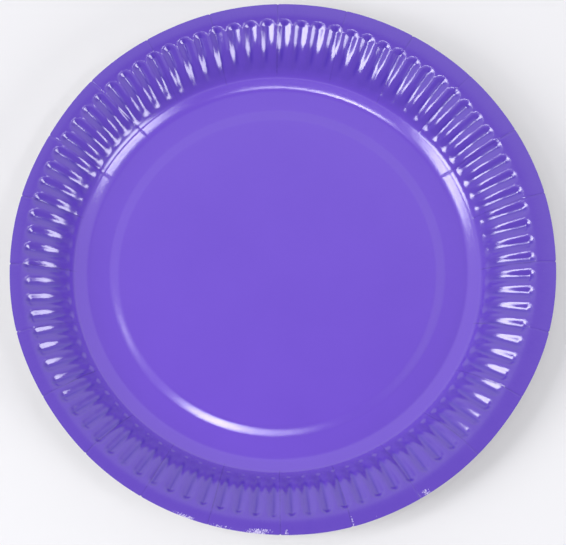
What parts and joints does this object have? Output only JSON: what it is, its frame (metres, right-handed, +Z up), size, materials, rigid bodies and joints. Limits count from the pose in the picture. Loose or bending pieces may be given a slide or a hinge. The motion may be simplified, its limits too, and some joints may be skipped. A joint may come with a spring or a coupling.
{
  "type": "paper plate",
  "caption": "Round disposable paper plate, pressed from one disc of glossy coated board, with a fluted wall above a sloping heel, radial creases, a plain lip and a slightly raised middle.",
  "frame": {"origin": "on the table, under the middle of the round cut edge", "axes": "+Z up, out of the dish; +X to the right and +Y away from the viewer as the picture shows the plate"},
  "size_m": [0.18, 0.18, 0.0135],
  "materials": {
    "board": "board with a glossy violet coat on the food side and a bare white underside"
  },
  "bodies": {
    "root": {"plate": "board"}
  },
  "joints": []
}
